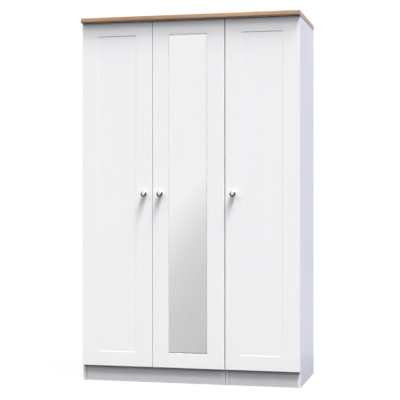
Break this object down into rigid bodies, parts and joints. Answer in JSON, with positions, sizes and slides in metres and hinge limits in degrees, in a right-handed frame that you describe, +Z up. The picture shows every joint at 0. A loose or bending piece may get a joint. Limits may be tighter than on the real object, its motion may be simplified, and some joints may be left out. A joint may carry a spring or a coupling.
{
  "type": "wardrobe with doors",
  "caption": "White triple wardrobe on a plinth with an oak-effect top, a full-height mirror on the middle door, ball knobs, and hanging rails and hat shelves inside.",
  "frame": {"origin": "on the floor at the centre of the whole wardrobe's footprint, knobs included", "axes": "+Z up, +Y towards the wall behind, the doors face -Y, +X to the right as seen from the front"},
  "size_m": [1.11, 0.518, 1.826],
  "materials": {
    "white_foil": "satin white foil over fibreboard, pressed with a faint upright grain",
    "white_board": "satin white melamine over chipboard",
    "white_hardboard": "white-faced hardboard",
    "oak_laminate": "satin oak-effect laminate over chipboard",
    "beech": "plain turned beech",
    "polished_chrome": "polished chrome plate",
    "chrome_plate": "bright chrome plate",
    "nickel_steel": "nickel-plated pressed steel",
    "zinc_casting": "bare zinc casting",
    "clear_soft_plastic": "soft clear plastic",
    "mirror_glass": "silvered glass, polished",
    "foam_tape": "closed-cell foam tape",
    "satin_aluminium": "satin anodised"
  },
  "bodies": {
    "carcass": {"oak_top": "oak_laminate", "left_side_panel": "white_board", "double_right_side_panel": "white_board", "single_left_side_panel": "white_board", "right_side_panel": "white_board", "double_sub_top": "white_board", "single_sub_top": "white_board", "double_base_panel": "white_board", "single_base_panel": "white_board", "double_hat_shelf": "white_board", "single_hat_shelf": "white_board", "double_back_panel": "white_hardboard", "single_back_panel": "white_hardboard", "double_plinth": "white_board", "single_plinth": "white_board", "double_rear_plinth": "white_board", "single_rear_plinth": "white_board", "plinth_dowels": "beech", "double_wall_rail": "white_board", "single_wall_rail": "white_board", "double_hanging_rail": "chrome_plate", "single_hanging_rail": "chrome_plate", "rail_sockets": "chrome_plate", "rail_socket_screws": "nickel_steel", "cam_locks": "zinc_casting", "cam_bolts": "nickel_steel", "connector_sleeves": "nickel_steel", "connector_bolts": "nickel_steel", "seam_washers": "clear_soft_plastic", "oak_top_screws": "nickel_steel", "back_panel_pins": "nickel_steel", "left_hinge_plates": "nickel_steel", "centre_hinge_plates": "nickel_steel", "right_hinge_plates": "nickel_steel", "left_hinge_arms": "nickel_steel", "centre_hinge_arms": "nickel_steel", "right_hinge_arms": "nickel_steel", "hinge_plate_screws": "nickel_steel", "hinge_arm_screws": "nickel_steel"},
    "left_door_leaf": {"left_door": "white_foil", "left_knob": "polished_chrome", "left_knob_screw": "nickel_steel", "left_hinge_cups": "nickel_steel", "left_cup_screws": "nickel_steel", "left_door_buffers": "clear_soft_plastic"},
    "centre_door_leaf": {"centre_door": "white_foil", "mirror_glass": "mirror_glass", "mirror_tape": "foam_tape", "mirror_channel": "satin_aluminium", "centre_knob": "polished_chrome", "centre_knob_screw": "nickel_steel", "centre_hinge_cups": "nickel_steel", "centre_cup_screws": "nickel_steel", "centre_door_buffers": "clear_soft_plastic"},
    "right_door_leaf": {"right_door": "white_foil", "right_knob": "polished_chrome", "right_knob_screw": "nickel_steel", "right_hinge_cups": "nickel_steel", "right_cup_screws": "nickel_steel", "right_door_buffers": "clear_soft_plastic"}
  },
  "joints": [
    {"name": "left_door_hinge", "type": "hinge", "parent": "carcass", "child": "left_door_leaf", "pos_m": [-0.5442, -0.2239, 0.93925], "axis": [0, 0, -1], "range_deg": [0, 95]},
    {"name": "centre_door_hinge", "type": "hinge", "parent": "carcass", "child": "centre_door_leaf", "pos_m": [0.171, -0.2239, 0.93925], "axis": [0, 0, 1], "range_deg": [0, 95]},
    {"name": "right_door_hinge", "type": "hinge", "parent": "carcass", "child": "right_door_leaf", "pos_m": [0.5442, -0.2239, 0.93925], "axis": [0, 0, 1], "range_deg": [0, 95]}
  ]
}
